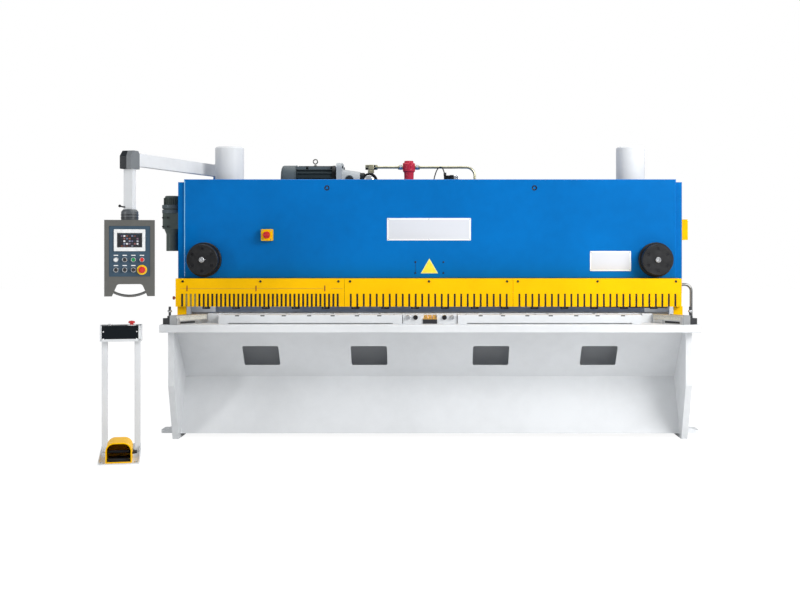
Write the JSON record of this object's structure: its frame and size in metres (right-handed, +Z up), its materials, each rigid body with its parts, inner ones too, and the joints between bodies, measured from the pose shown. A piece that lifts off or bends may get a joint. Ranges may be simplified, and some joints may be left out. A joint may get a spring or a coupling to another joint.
{
  "type": "hydraulic guillotine shear",
  "caption": "Hydraulic guillotine shear: a raked blade beam cuts sheet metal held on the bench by a row of hold-downs, with a swing-arm control box and a foot pedal.",
  "frame": {"origin": "centre of the four anchor bolt holes, on the floor", "axes": "+X along the blades to the operator's right, +Y from the operator to the rear, +Z up"},
  "size_m": [3.8529, 2.4094, 1.946],
  "materials": {
    "blue_paint": "semi-gloss",
    "white_paint": "semi-gloss",
    "yellow_paint": "semi-gloss",
    "black_paint": "satin",
    "grey_paint": "satin",
    "slate_paint": "satin",
    "red_paint": "gloss",
    "blade_steel": "ground",
    "zinc_steel": "plated",
    "brass": "machined",
    "dark_plastic": "matte",
    "white_plastic": "gloss",
    "red_plastic": "gloss"
  },
  "bodies": {
    "machine": {"side_frame_right": "blue_paint", "side_frame_left": "blue_paint", "table_plate": "white_paint", "blade_seat": "blade_steel", "lower_blade": "blade_steel", "bench_plates": "white_paint", "junction_block": "brass", "front_apron": "white_paint", "table_beam_web": "white_paint", "front_panel": "blue_paint", "hold_down_beam": "blue_paint", "hold_down_cylinders": "zinc_steel", "beam_guides": "blade_steel", "main_cylinder_right": "white_paint", "main_cylinder_left": "white_paint", "guide_covers": "black_paint", "isolator_box": "yellow_paint", "isolator_knob": "red_plastic", "guard_left": "yellow_paint", "guard_middle": "yellow_paint", "guard_right": "yellow_paint", "guard_shelf": "yellow_paint", "guard_cheeks": "yellow_paint", "oil_tank": "blue_paint", "tank_lid": "blue_paint", "tank_cross_tubes": "blue_paint", "pump_motor": "slate_paint", "pump": "slate_paint", "oil_filter": "red_paint", "pressure_pipes": "zinc_steel", "valve_block": "grey_paint", "gap_drive": "slate_paint", "terminal_box": "yellow_paint", "back_gauge_frame": "white_paint", "back_gauge_bar": "white_paint", "squaring_arms": "blade_steel", "arm_clamps": "dark_plastic", "bent_tube": "zinc_steel", "swing_bracket": "blue_paint", "pedal_stand": "white_paint", "desk_panel": "dark_plastic", "desk_stop": "red_plastic", "pedal_shroud": "yellow_paint"},
    "blade_beam": {"blade_beam": "blue_paint", "upper_blade": "blade_steel", "piston_rods": "blade_steel"},
    "hold_down": {"hold_down_plungers": "blade_steel"},
    "swing_arm": {"swing_arm": "white_paint", "arm_elbow": "dark_plastic", "swivel_hub": "dark_plastic"},
    "control_box": {"control_box": "grey_paint", "box_back": "grey_paint", "box_handle": "dark_plastic", "screen_bezel": "white_plastic", "box_buttons": "dark_plastic", "box_stop": "red_plastic"},
    "treadle": {"treadle": "black_paint"}
  },
  "joints": [
    {"name": "blade_beam_slide", "type": "slide", "parent": "machine", "child": "blade_beam", "axis": [0, 0, -1], "range_m": [0, 0.1]},
    {"name": "hold_down_slide", "type": "slide", "parent": "machine", "child": "hold_down", "axis": [0, 0, -1], "range_m": [0, 0.016], "stiffness_N_per_m": 20000, "springref_m": -0.05},
    {"name": "arm_swing", "type": "hinge", "parent": "machine", "child": "swing_arm", "pos_m": [-1.5, -0.11, 1.8], "axis": [0, 0, 1], "range_deg": [-80, 0]},
    {"name": "box_swivel", "type": "hinge", "parent": "swing_arm", "child": "control_box", "pos_m": [-1.845, -1.33, 1.45], "axis": [0, 0, 1], "range_deg": [-90, 90]},
    {"name": "treadle_press", "type": "hinge", "parent": "machine", "child": "treadle", "pos_m": [-1.84636, -1.56687, 0.041], "axis": [0.9781, 0.2079, 0], "range_deg": [0, 10], "stiffness_Nm_per_rad": 20, "springref_deg": -17.19}
  ]
}
